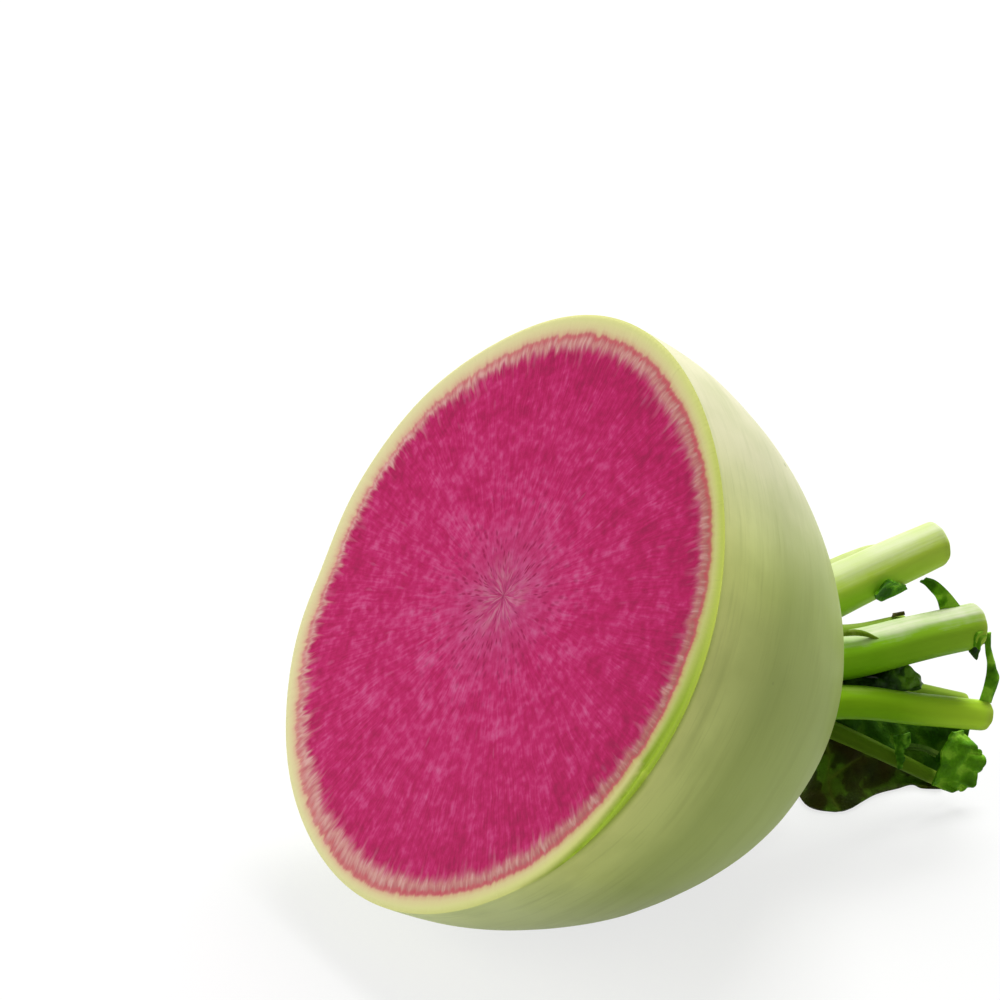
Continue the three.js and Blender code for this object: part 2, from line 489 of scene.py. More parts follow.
    def ring(self, add: Adder, rind: Value, rays: Adder) -> tuple[Node, Node]:
        """Paints the rind and the ring of vessels, whose rays reach into each other.

        Args:
            add: adds a node to the material.
            rind: how far in through the rind the spot is.
            rays: makes streaks that run outwards.

        Returns:
            The colour, and the layer: 0 at the skin, 0.5 where the ring starts and 1 where the flesh does.
        """
        lime, verdant, salmon, streaky = (
            add("Attribute", attribute_name=name).outputs["Fac"]
            for name in ("lime", "verdant", "salmon", "streaky")
        )
        teeth = rays(62.0, 5.0, 3.0)
        ragged = add("Math", (teeth, rays(24.0, 7.0)), operation="ADD")
        ragged = add("Math", (ragged, -1.0), operation="ADD")
        reach_in = {"Value": rind, "From Min": 0.25, "From Max": 1.0, "To Min": 0.03, "To Max": 1.0}
        ragged = add("Math", (ragged, add("MapRange", reach_in)), operation="MULTIPLY")
        layer = add("Math", (ragged, streaky, rind), operation="MULTIPLY_ADD")
        half = add("Math", (layer, 0.5), operation="MULTIPLY")

        places = (0.0, 0.09, 0.18, 0.24, 0.28, 0.34, 0.41, 0.46, 0.52)
        cream = "#E8E2AA #E6DEA8 #E1CE9F #DEB796 #D39286 #CC8482 #D2988F #CC8087 #C86478".split()
        cream = add("ValToRGB", {"Fac": half}, dict(zip(places, cream)))
        places = (0.0, 0.07, *places[2:])
        green = "#D2DC56 #D2DB68 #D2CE86 #C6AE70 #B98467 #B26A64 #BA736E #B25F6C #B04C64".split()
        green = add("ValToRGB", {"Fac": half}, dict(zip(places, green)))
        ring = add("Mix", {"Factor": verdant, "A": cream, "B": green}, data_type="RGBA")

        inner = {0.22: "#000000", 0.29: "#FFFFFF", 0.46: "#FFFFFF", 0.54: "#000000"}
        inner = add("ValToRGB", {"Fac": half}, inner)
        bundle = rays(66.0, 3.2, 3.0)
        dark = add("MapRange", {"Value": bundle, "From Min": 0.5, "From Max": 0.32, "To Max": 0.45})
        pale = add("MapRange", {"Value": bundle, "From Min": 0.5, "From Max": 0.7, "To Max": 0.4})
        places = (0.245, 0.28, 0.31, 0.345, 0.40, 0.43, 0.47)
        bands = "#000000 #FFFFFF #FFFFFF #202020 #181818 #808080 #000000".split()
        bands = add("ValToRGB", {"Fac": half}, dict(zip(places, bands)))
        dashed = {"Value": teeth, "From Min": 0.36, "From Max": 0.64, "To Min": 0.95, "To Max": 0.6}
        dashed = add("Math", (add("MapRange", dashed), salmon), operation="MULTIPLY")
        coats = (
            (inner, 0.0, 1.0, dark, "#B03C58"),
            (inner, 0.0, 1.0, pale, "#E8C6BC"),
            (bands, 0.0, 1.0, dashed, "#C4505E"),
            (lime, 0.0, 1.0, 1.0, "#98B42C"),
        )
        return coated(add, ring, coats), layer


@dataclass(frozen=True)
class Skin(Finish):
    """Waxy radish skin, grown and only washed: pale green, greener to the shoulder, fine lines round it.

    The lines round the girth are growth lines half a millimetre apart. With a few dark specks they keep
    the wide smooth flank from looking like plastic.
    """

    line_spacing: float = 0.45

    def paint(self, add: Adder) -> Paint:
        """Paints the skin, from the rim to the crown.

        Args:
            add: adds a node to the material.

        Returns:
            The colour, the relief and its height.
        """
        place = add("Attribute", attribute_name=OWN_PLACE).outputs["Vector"]
        parts = add("SeparateXYZ", {"Vector": place}).outputs
        flat = add("VectorMath", (place, (1, 1, 0)), operation="MULTIPLY")
        polar = around(add, flat, parts["Z"])

        depth = add("Math", (parts["Z"], -1 / 50), operation="MULTIPLY")
        # Palest by the rim: partly the skin's own colour, partly painted light matched to the lit side.
        stops = {0.0: "#F4FA98", 0.12: "#E3EE8E", 0.28: "#B7C76C", 0.7: "#B3C668", 0.95: "#A6B65C"}
        colour = add("ValToRGB", {"Fac": depth}, stops)
        # Painted highlight: paler cream towards the top of the slope, where the key light falls.
        painted_top_light = {"Value": parts["X"], "From Min": 21.0, "From Max": 40.0}
        painted_top_light = add("MapRange", painted_top_light, interpolation_type="SMOOTHSTEP")
        fine = drawn_out(add, polar, (4, 4, 1 / self.line_spacing), 3.0)
        broad = drawn_out(add, polar, (2.2, 2.2, 1 / 2.4), 4.0)
        mottle = add("TexNoise", {"Vector": place, "Scale": 0.11, "Detail": 4.0})
        coats = (
            (painted_top_light, 0.0, 1.0, 0.92, "#E8E4C2"),
            # Painted bounce light: paler towards the underside, where the floor lights it.
            (parts["X"], -21.0, -31.0, 0.75, "#E8F4AC"),
            (fine, 0.55, 0.75, 0.14, "#8F9E44"),
            (broad, 0.52, 0.75, 0.2, "#98A64C"),
            (mottle, 0.45, 0.75, 0.25, "#9FB256"),
            (specks(add, place, (0.16, 0.16, 0.16), (0.075, 0.02), 0.38), 0.0, 1.0, 1.0, "#7F8C48"),
            (add("Attribute", attribute_name="corky").outputs["Fac"], 0.0, 1.0, 1.0, "#A59460"),
            (add("Attribute", attribute_name="lime").outputs["Fac"], 0.0, 1.0, 1.0, "#B2C648"),
        )
        return coated(add, colour, coats), fine, 0.02


@dataclass(frozen=True)
class StalkFinish(Finish):
    """Leaf stalk: crisp and watery, with a thin smooth skin over pale pith.

    It is painted nearly white along the top, a painted highlight, and darker green towards its underside,
    painted shade over its grass green. It is darker by the crown and lighter to its end, partly painted
    shade where the crown shades its root. The fibres under the skin give fine lengthwise streaks.
    """

    roughness: float = 0.4
    shine: float = 0.02
    top: str = "#DCE6BC"
    light: str = "#8FC02C"
    deep: str = "#78AE18"
    low: str = "#62960E"
    end: str = "#A4CC3A"
    top_from: float = 0.82
    top_fade: float = 0.2
    lit_end_from: float = 0.35
    tip: str = "#B9D650"

    def paint(self, add: Adder) -> Paint:
        """Paints the stalk: a painted highlight on top, painted shade below and lighter to its end.

        Args:
            add: adds a node to the material.

        Returns:
            The colour, the relief and its height.
        """
        place = add("Attribute", attribute_name=OWN_PLACE).outputs["Vector"]
        along, tone, tip = (
            add("Attribute", attribute_name=name).outputs["Fac"] for name in ("along", "upper", "tip")
        )
        fibres = drawn_out(add, place, (0.06, 1.5, 1.5), 4.0)
        cloud = add("TexNoise", {"Vector": place, "Scale": 0.3, "Detail": 3.0})
        for pattern, share in ((fibres, 0.3), (cloud, 0.2), (1.0, -0.25)):
            tone = add("Math", (pattern, share, tone), operation="MULTIPLY_ADD")
        # Painted shade on the underside, painted highlight along the top, by the upper value.
        colour = add("ValToRGB", {"Fac": tone}, {0.05: self.low, 0.45: self.deep, 0.75: self.light})
        bare = add("MapRange", {"Value": tone, "From Max": 0.35, "To Min": 0.24, "To Max": 0.8})
        coats = (
            # Lighter to the end: painted light, leaving the root in painted shade of the crown.
            (along, self.lit_end_from, 1.0, bare, self.end),
            (tip, 0.0, 1.0, 1.0, self.tip),
            (tone, self.top_from, self.top_from + self.top_fade, 1.0, self.top),
        )
        return coated(add, colour, coats), fibres, 0.06


@dataclass(frozen=True)
class CutStalkFinish(Finish):
    """Cut end of a leaf stalk: wet pale pith with a ring of darker vessel bundles under the skin."""

    pith: str = "#CFDF94"
    vessel: str = "#8FAE42"

    def paint(self, add: Adder) -> Paint:
        """Paints the pith and dots it with vessels.

        Args:
            add: adds a node to the material.

        Returns:
            The colour, the relief and its height.
        """
        place = add("Attribute", attribute_name=OWN_PLACE).outputs["Vector"]
        spread = add("Mapping", {"Vector": place, "Scale": (0.0, 1.1, 1.1)})
        cell = add("TexVoronoi", {"Vector": spread, "Scale": 1.0}).outputs["Distance"]
        return coated(add, self.pith, ((cell, 0.3, 0.1, 1.0, self.vessel),)), cell, 0.15


@dataclass(frozen=True)
class LeafFinish(Finish):
    """Radish leaf: a thin crinkled blade with a bristly matt face and paler veins.

    The ridges of the crinkle are painted lighter and its hollows darker, painted highlights and painted
    shade that break the blade up into small bright and dark patches.
    """

    roughness: float = 0.5
    shine: float = 0.03
    light: str = "#6DB428"
    middle: str = "#4B8A12"
    deep: str = "#27500A"
    vein: str = "#93B852"
    brown: str = "#4A3A12"
    browned: float = 0.0

    def paint(self, add: Adder) -> Paint:
        """Paints the blade: painted light on ridges, painted shade in hollows, veins and browned parts.

        Args:
            add: adds a node to the material.

        Returns:
            The colour, the relief and its height.
        """
        place = add("Attribute", attribute_name=OWN_PLACE).outputs["Vector"]
        vein = add("Attribute", attribute_name="vein").outputs["Fac"]
        ridge = add("Attribute", attribute_name="ridge").outputs["Fac"]
        cloud = add("TexNoise", {"Vector": place, "Scale": 0.5, "Detail": 4.0})
        # Painted light and shade: ridges painted lighter, hollows darker.
        tone = add("Math", (cloud, 0.7, ridge), operation="MULTIPLY_ADD")
        stops = {0.45: self.deep, 0.85: self.middle, 1.0: self.light}
        colour = add("ValToRGB", {"Fac": tone}, stops)
        rot = add("TexNoise", {"Vector": place, "Scale": 0.22, "Detail": 3.0})
        coats = ((vein, 0.0, 1.0, 1.0, self.vein), (rot, 0.4, 0.7, self.browned, self.brown))
        grain = add("TexVoronoi", {"Vector": place, "Scale": 1.6}, feature="DISTANCE_TO_EDGE")
        return coated(add, colour, coats), grain.outputs["Distance"], 0.12


SKIN = Skin("waxy radish skin", 0.45, 0.1)
FLESH = CutFlesh("fresh cut radish flesh", 0.5, 0.1)
CUT_END = CutStalkFinish("wet cut end of a leaf stalk", 0.35)

PALE = StalkFinish(
    "pale leaf stalk", top="#EEF2D6", light="#CCE856", deep="#BCE446", low="#AED63E", end="#CCE658",
    top_from=0.73, top_fade=0.45,
)
THIN = StalkFinish(
    "thin pale leaf stalk", top="#D8E2A0", light="#B4CC58", deep="#A8CC40", low="#93BC34", end="#BCD850"
)
GREEN = StalkFinish("fresh green leaf stalk", top="#DCE4BE", light="#90CC22", deep="#7AB610", low="#62980A")
GRASS = StalkFinish(
    "grass green leaf stalk", top="#B4D85A", light="#8EC21A", deep="#80B812", low="#74AA10", end="#D6FF46",
    top_from=0.95, lit_end_from=0.5,
)
# Painted shade: a darker copy of a thin stalk, for the stalks lying behind the others.
SHADED_THIN = StalkFinish(
    "shaded thin leaf stalk", top="#9CB25A", light="#7C9C2C", deep="#66881C", low="#54780C", end="#A2C048",
    top_from=0.95,
)
OLIVE = StalkFinish(
    "old leaf stalk", 0.5, top="#88A438", light="#64841A", deep="#547412", low="#74962A", end="#62861A",
    top_from=0.95,
)

FRESH = LeafFinish("fresh radish leaf", light="#92CC34", middle="#64A218", deep="#38680C")
MIXED = LeafFinish("half shaded radish leaf", light="#6EA62A", middle="#467E14", deep="#28540A")
# Painted shade: a darker copy of the leaf finish, for the blade lying in the stalks' shade.
SHADY = LeafFinish(
    "radish leaf in painted shade", light="#55801A", middle="#35600C", deep="#1E4006", vein="#6F9238"
)
CURLED = LeafFinish("curled dark leaf", 0.45, 0.08, "#5E8A1E", "#2E520A", "#142C04", "#6F9238")
# Painted shade: greens near black for the leaf lying under the radish and stalks; the brown is its own.
OLD_AND_SHADED = LeafFinish(
    "shaded old radish leaf", light="#5E8620", middle="#3A4A14", deep="#24280E", vein="#6E8428", brown="#40380E",
    browned=0.7,
)
RIB = LeafFinish("leaf midrib", light="#84A048", middle="#6E9040", deep="#527A24", vein="#84A048")
HUSK = LeafFinish("torn leaf sheath", light="#8CA040", middle="#6C8A1C", deep="#557410", vein="#8CA040")
SCORCHED = LeafFinish("dry brown leaf", 0.6, 0.05, "#6E6640", "#5A5230", "#4A4224", "#6E6640")


# ---- The radish ----


@dataclass(frozen=True)
class Spots:
    """Where the radish's vertices are, with one value for each vertex.

    The turn is in degrees round the axis, from across the slope of the cut to up it. Inward is how far in
    from the rim a vertex of the cut face lies, and less than 0 behind the face.
    """

    turn: np.ndarray
    radius: np.ndarray
    depth: np.ndarray
    inward: np.ndarray


@dataclass
class RadishHalf:
    """The crown half of the radish: a round flank from the cut face to the crown with its leaf scars.

    The layers give, for turns round the rim, how far in the ring and the flesh start, how green the rind
    is and how red the ring. The groove is given by where it lies in from the rim, and how deep it is. Its
    unevenness is given by the lumps' size, their height and what keeps them apart.
    """

    lie: Lie
    cut_radius: float = 42.0
    nose: float = 55.7
    bluntness: float = 1.5
    crown_depth: float = 48.5
    crown_radius: float = 16.0
    round_steps: int = 432
    out_of_round: tuple[Point, ...] = ((2, 0.012, -96), (3, 0.012, -167), (4, 0.009, -39))
    rim_bumps: tuple[Point, ...] = ((25, 18, 0.9), (346, 11, -1.1), (305, 16, 0.4))
    layers: tuple[tuple[float, ...], ...] = (
        (15, 3.0, 4.5, 0.0, 0.15),
        (45, 2.8, 4.8, 0.05, 0.4),
        (75, 2.65, 5.0, 0.3, 0.8),
        (105, 2.5, 5.0, 0.45, 1.0),
        (135, 1.9, 4.1, 0.8, 1.0),
        (150, 2.3, 4.4, 0.9, 1.0),
        (166, 3.2, 5.0, 1.0, 0.9),
        (190, 3.4, 5.4, 1.0, 0.8),
        (217, 2.2, 4.6, 0.5, 0.9),
        (245, 2.3, 4.6, 0.35, 1.0),
        (275, 1.6, 4.9, 0.05, 0.75),
        (307, 2.2, 4.9, 0.0, 0.2),
        (342, 2.7, 4.1, 0.0, 0.1),
    )
    groove_inward: tuple[tuple[float, float], ...] = (
        (120, 0.2), (150, 0.7), (172, 1.15), (186, 1.6), (196, 1.0), (205, 0.3), (214, -0.3)
    )
    groove_depth: tuple[tuple[float, float], ...] = (
        (120, 0), (150, 0.15), (178, 0.3), (187, 1), (207, 1), (222, 0)
    )
    nick_at: float = 187.0
    unevenness: tuple[Point, ...] = ((15, 0.35, 0), (5, 0.07, 50))
    collar_radius: float = 13.5
    scar_radius: float = 15.2
    scar_gap: float = 2.4

    def flank_radius(self, depth: np.ndarray) -> np.ndarray:
        """The radius of the flank at a depth behind the cut face."""
        return self.cut_radius * (1 - (depth / self.nose) ** 2) ** (1 / self.bluntness)

    def profile(self) -> np.ndarray:
        """The outline that is spun: from the middle of the cut face over the rim to the middle of the crown.

        Returns:
            Rows of radius and height; the cut face is at height 0 and the crown below it.
        """
        fine, coarse, edge, shoulder = 0.25, 0.8, 6.0, 5.0
        inner = np.arange(0, self.cut_radius - edge, coarse)
        outer = np.arange(self.cut_radius - edge, self.cut_radius - fine / 2, fine)
        face = np.concatenate([inner, outer])
        near = np.arange(fine / 2, 3, fine)
        middle = np.arange(3, self.crown_depth - shoulder, 0.7)
        far = np.arange(self.crown_depth - shoulder, self.crown_depth, fine)
        depth = np.concatenate([near, middle, far])
        crown = np.arange(self.crown_radius - 0.2, 0, -0.5)
        rows = [(r, 0) for r in face] + list(zip(self.flank_radius(depth), -depth))
        return np.array(rows + [(r, -self.crown_depth) for r in crown] + [(0, -self.crown_depth)])

    def spin(self) -> bpy.types.Object:
        """Spins the outline round the radish's axis into a closed shape.

        Returns:
            The shape, in the radish's own frame.
        """
        bpy.ops.mesh.primitive_plane_add(size=1)
        piece = bpy.context.object
        piece.name = "radish"
        with edit_mode(piece):
            bpy.ops.mesh.merge(type="CENTER")
            for out, up in np.diff(self.profile(), axis=0):
                move = {"value": (float(out), 0, float(up))}
                bpy.ops.mesh.extrude_region_move(TRANSFORM_OT_translate=move)
        turns = {"steps": self.round_steps, "render_steps": self.round_steps}
        apply_modifier(piece, "SCREW", angle=FULL_TURN, axis="Z", use_merge_vertices=True, **turns)
        with edit_mode(piece):
            bpy.ops.mesh.remove_doubles(threshold=0.001)
            bpy.ops.mesh.normals_make_consistent(inside=False)
        return piece

    def stretch(self, turn: np.ndarray, fade: np.ndarray) -> np.ndarray:
        """How far from round the radish is.

        Args:
            turn: the turn round the axis, in degrees.
            fade: 1 at the cut face and 0 at the nose.

        Returns:
            The factor on the radius.
        """
        wave = sum(share * np.cos(np.radians(n * turn - start)) for n, share, start in self.out_of_round)
        bump = sum(high * turn_bell(turn, at, width) for at, width, high in self.rim_bumps)
        return 1 + fade**1.5 * wave + fade**6 * bump / self.cut_radius

    def planed(self, at: Spots) -> np.ndarray:
        """How far the knife planed the rim, where it ran out of the radish."""
        return smooth_step(100, 180, at.turn) * (at.turn < self.nick_at - 1)

    def groove_place(self, at: Spots) -> np.ndarray:
        """How far in from the rim the groove beside the planed stretch lies."""
        return np.interp(at.turn, *zip(*self.groove_inward))

    def groove(self, at: Spots) -> np.ndarray:
        """The groove that the knife left along the rim, 0 to 1."""
        return np.interp(at.turn, *zip(*self.groove_depth)) * bell(at.inward, self.groove_place(at), 0.42)

    def nick(self, at: Spots) -> np.ndarray:
        """The nick where the planed stretch ends, 0 to 1."""
        return (np.abs(at.turn - self.nick_at) < 1.2) * bell(at.inward, 2.9, 1.2)

    def scars(self, at: Spots) -> np.ndarray:
        """The rings that shed leaves left round the crown.

        Args:
            at: where the vertices are.

        Returns:
            How much of a scar each vertex is, 0 to 1.
        """
        angle = np.radians(at.turn)
        away = at.radius - self.scar_radius - 0.5 * np.cos(7 * angle) - 0.3 * np.cos(13 * angle + 1)
        return bell(away, 0, 0.5) + 0.7 * bell(away, self.scar_gap, 0.4)

    def near_crown(self, at: Spots) -> np.ndarray:
        """Rises from 0 on the flank to 1 on the crown."""
        return smooth_step(self.crown_depth - 5, self.crown_depth, at.depth)

    def cut_relief(self, at: Spots, places: np.ndarray, rind: np.ndarray) -> np.ndarray:
        """The relief of the cut face: rays, pith, rind and knife marks.

        Args:
            at: where the vertices are.
            places: the vertices.
            rind: how far in through the layers each one is.

        Returns:
            The height at each vertex.
        """
        across = places[:, :2] - np.array(FLESH.pith)
        reach = np.hypot(across[:, 0], across[:, 1])
        heading = across / np.maximum(reach, 1e-6)[:, None]
        rays = lumps(np.column_stack([heading * 30, reach / 5]), 1)
        star = lumps(np.column_stack([heading * 3.4, reach / 6]) + 7, 1)
        relief = 0.05 * rays * smooth_step(1.0, 1.3, rind) * smooth_step(4, 10, reach)
        relief += 0.25 * smooth_step(1.0, 4.0, rind)
        relief += 0.06 * bell(rind, 0.86, 0.14) - 0.08 * bell(rind, 0.55, 0.14)
        relief += (0.16 * star - 0.25) * bell(reach, 0, 3.2)
        bevel = self.planed(at) * np.clip(1 - at.inward / 2.8, 0, 1)
        relief += 0.1 * self.nick(at) + 0.03 * lumps(places, 2)
        return relief - 0.35 * bevel - 0.45 * self.groove(at) - 0.18 * bell(at.inward, 0, 0.35)

    def lime(self, at: Spots) -> np.ndarray:
        """Where the knife laid the bright green layer under the skin bare.

        Args:
            at: where the vertices are.

        Returns:
            How green each vertex is, 0 to 1.
        """
        greened = 0.6 * smooth_step(150, 182, at.turn) * smooth_step(188, 186, at.turn)
        greened += 0.25 * self.planed(at)
        greened *= smooth_step(3.2, 1.6, at.inward) * smooth_step(-1.2, 0, at.inward)
        below = 0.85 * smooth_step(186, 188, at.turn) * smooth_step(214, 204, at.turn)
        below *= smooth_step(0.1, -0.4, at.inward - self.groove_place(at))
        below *= smooth_step(-1.5, -0.3, at.inward)
        edge = 0.15 * bell(at.inward, 0, 0.7)
        return np.clip(greened + below + self.groove(at) + edge - self.nick(at), 0, 1)

    def carve(self, piece: bpy.types.Object) -> None:
        """Moves the spun shape's vertices: out of round, lumpy, with relief on the cut face and the crown.

        Args:
            piece: the spun radish, in its own frame.
        """
        p = corners(piece)
        turn = np.degrees(np.arctan2(p[:, 0], p[:, 1])) % 360
        radius = np.hypot(p[:, 0], p[:, 1])
        depth = -p[:, 2]
        face = (depth < NEAR) & (radius < self.cut_radius)
        stretch = self.stretch(turn, np.clip(1 - depth / self.nose, 0, 1))
        at = Spots(turn, radius, depth, np.where(face, (self.cut_radius - radius) * stretch, -depth))

        p[:, :2] *= stretch[:, None]
        uneven = sum(high * lumps(p + shift, size) for size, high, shift in self.unevenness)
        swell = 1 + uneven * smooth_step(0.5, 8, depth) / np.maximum(radius, 8)
        p[:, :2] *= swell[:, None]

        turns, *values = np.array(self.layers).T
        ring, edge, verdant, salmon = (np.interp(turn, turns, value, period=360) for value in values)
        rind = 0.5 + 0.5 * (at.inward - ring) / (edge - ring)
        rind = np.where(at.inward < ring, 0.5 * at.inward / ring, rind)
        rind = np.where(at.inward > edge, 1 + (at.inward - edge) / 4.5, rind)

        rounded = -0.18 * bell(depth, 0, 0.35) - 0.4 * self.groove(at)
        p[:, 2] += np.where(face, self.cut_relief(at, p, rind), np.where(depth < 3, rounded, 0))
        ribbed = 0.9 + 0.35 * np.cos(np.radians(9 * turn))
        collar = bell(radius, self.collar_radius, 2.6) * ribbed + 0.8 * bell(radius, 0, 8)
        p[:, 2] -= self.near_crown(at) * (collar * 1.2 + self.scars(at) * 0.35) * (radius < 20)
        move_corners(piece, p)

        crown = depth > self.crown_depth - NEAR
        corky = self.near_crown(at) * self.scars(at) + 0.6 * crown * bell(radius, 12, 4)
        store(piece, **{OWN_PLACE: p}, rind=rind, lime=self.lime(at), verdant=verdant, salmon=salmon)
        store(piece, streaky=0.95 - 0.5 * salmon, corky=np.clip(corky, 0, 1))

    def dress(self, piece: bpy.types.Object) -> None:
        """Gives the cut face and the skin their finishes.

        Args:
            piece: the carved radish, in its own frame.
        """
        for finish in (SKIN, FLESH):
            piece.data.materials.append(finish.build())
        pick(piece)
        bpy.ops.object.shade_smooth_by_angle(angle=math.radians(50))
        for polygon in piece.data.polygons:
            polygon.material_index = int(polygon.normal.z > 0.5)

    def build(self) -> None:
        """Builds, dresses and places the radish."""
        piece = self.spin()
        self.carve(piece)
        self.dress(piece)
        piece.data.transform(self.lie.place())
        hand_over(piece, "radish_half", Slot.RADISH)


# ---- Stalks and leaves ----


def line_through(points: Sequence[Point], share: np.ndarray) -> np.ndarray:
    """Places along a smooth line that goes through every point.

    Args:
        points: the points.
        share: for each place, how far along the line it is, 0 to 1.

    Returns:
        One row per place.
    """
    rows = np.array(points, dtype=float)
    rows = np.vstack([2 * rows[0] - rows[1], rows, 2 * rows[-1] - rows[-2]])
    at = np.clip(share, 0, 1) * (len(points) - 1)
    first = np.minimum(at.astype(int), len(points) - 2)
    f = (at - first)[:, None]
    a, b, c, d = (rows[first + k] for k in range(4))
    return b + 0.5 * f * (c - a + f * (2 * a - 5 * b + 4 * c - d + f * (3 * (b - c) + d - a)))


@dataclass(frozen=True)
class Sheet:
    """One stretch of leaf blade between the edge that is held and the edge that is free.

    Both edges run the same way, in millimetres from the middle of the crown with world-parallel axes. The
    free edge can wave to and fro (ruffle), and the blade between them is crinkled. A vein is a start and
    an end, a patch a place, a size and how much lighter it is.
    """

    held: tuple[Point, ...]
    free: tuple[Point, ...]
    finish: LeafFinish
    thick: float = 0.4
    bulge: float = 0.0
    ruffle: float = 0.0
    ruffles: float = 3.0
    crinkle: float = 0.12
    crinkle_size: float = 1.6
    veins: tuple[tuple[float, float, float, float], ...] = ()
    vein_width: float = 0.3
    vein_height: float = 0.12
    patches: tuple[tuple[float, float, float, float], ...] = ()
    steps: tuple[int, int] = (90, 36)

    def flat_place(self, u: np.ndarray, v: np.ndarray) -> np.ndarray:
        """Where a spot of the blade lies before it is ruffled.

        Args:
            u: how far along the edges the spot is.
            v: how far from the held edge to the free one it is.

        Returns:
            One row per spot.
        """
        start = line_through(self.held, u)
        return start + (line_through(self.free, u) - start) * v[:, None]

    def facing(self, u: np.ndarray) -> np.ndarray:
        """Which way the blade faces.

        Args:
            u: how far along the edges each spot is.

        Returns:
            One row of length 1 per spot.
        """
        near = 0.02
        edges = (self.held, self.free)
        along = sum(line_through(edge, u + near) - line_through(edge, u - near) for edge in edges)
        rows = np.cross(along, line_through(self.free, u) - line_through(self.held, u))
        return rows / np.maximum(np.linalg.norm(rows, axis=1), 1e-9)[:, None]

    def veined(self, grid: np.ndarray, flat: np.ndarray) -> np.ndarray:
        """Where the veins run.

        Args:
            grid: how far along and across the blade each spot is.
            flat: where it lies before the blade is ruffled.

        Returns:
            For each spot, 1 on a vein and 0 off it.
        """
        vein = np.zeros(len(grid))
        for u0, v0, u1, v1 in self.veins:
            run = np.array([u1 - u0, v1 - v0])
            share = np.clip(((grid - (u0, v0)) @ run) / (run @ run), 0, 1)
            off = flat - self.flat_place(u0 + share * run[0], v0 + share * run[1])
            width = self.vein_width * (1 - 0.5 * share)
            vein = np.maximum(vein, bell(np.linalg.norm(off, axis=1), 0, width))
        return vein

    def build(self, seed: float) -> bpy.types.Object:
        """Builds and colours the sheet.

        Args:
            seed: shifts the unevenness, so that no two sheets are alike.

        Returns:
            The sheet, in millimetres.
        """
        long, wide = self.steps
        bpy.ops.mesh.primitive_grid_add(x_subdivisions=long, y_subdivisions=wide, size=2)
        piece = bpy.context.object
        grid = (corners(piece)[:, :2] + 1) / 2
        u, v = grid.T
        flat = self.flat_place(u, v)
        vein = self.veined(grid, flat)
        wave = np.sin(FULL_TURN * self.ruffles * u + seed)
        wave += 0.45 * np.sin(FULL_TURN * self.ruffles * 2.3 * u + 2 * seed)
        wave *= self.ruffle * v**2.5
        crease = lumps(flat + 9 * seed, self.crinkle_size)
        crease += 0.5 * lumps(flat - 9 * seed, self.crinkle_size / 2)
        crease *= self.crinkle * (1 - 0.7 * v**4)
        height = wave + crease + self.bulge * np.sin(math.pi * v) + self.vein_height * vein
        move_corners(piece, flat + self.facing(u) * height[:, None])
        # Painted light on the ruffles' and crinkles' ridges, painted shade in their hollows.
        ridge = 0.5 + 0.35 * (wave + 1.6 * crease) / max(self.ruffle + self.crinkle, 0.1)
        for u0, v0, size, gain in self.patches:
            away = np.linalg.norm(flat - self.flat_place(np.array([u0]), np.array([v0])), axis=1)
            ridge += gain * bell(away, 0, size)
        store(piece, **{OWN_PLACE: flat + 11 * seed}, vein=vein, ridge=np.clip(ridge, 0, 1))
        apply_modifier(piece, "SOLIDIFY", thickness=self.thick, offset=0.0)
        piece.data.materials.append(self.finish.build())
        return piece


@dataclass(frozen=True)
class Growth:
    """Something that grew from the crown: the CAD node that it stands for and what it is made of."""

    node: str

    def set_down(self, parts: Sequence[bpy.types.Object], crown: Vector, slot: Slot) -> None:
        """Joins the parts that grew as one, smooths the whole and puts it in its place.

        Args:
            parts: the parts, the main one first, in millimetres from the middle of the crown.
            crown: the middle of the crown.
            slot: the record's finish that it takes.
        """
        pick(*parts)
        if len(parts) > 1:
            bpy.ops.object.join()
        piece = parts[0]
        piece.name = self.node
        bpy.ops.object.shade_smooth_by_angle(angle=math.radians(45))
        places = corners(piece) + np.array(crown)
        places[:, 2] = np.maximum(places[:, 2], ABOVE_FLOOR)
        move_corners(piece, places * MM)
        hand_over(piece, self.node, slot)


@dataclass(frozen=True)
class Leaf(Growth):
    """One scrap of leaf, made of one or more sheets that grew together."""

    sheets: tuple[Sheet, ...]
    slot: Slot = Slot.LEAF

    def build(self, crown: Vector) -> None:
        """Builds the leaf's sheets and sets them down as one."""
        parts = [sheet.build(1.0 + number) for number, sheet in enumerate(self.sheets)]
        self.set_down(parts, crown, self.slot)


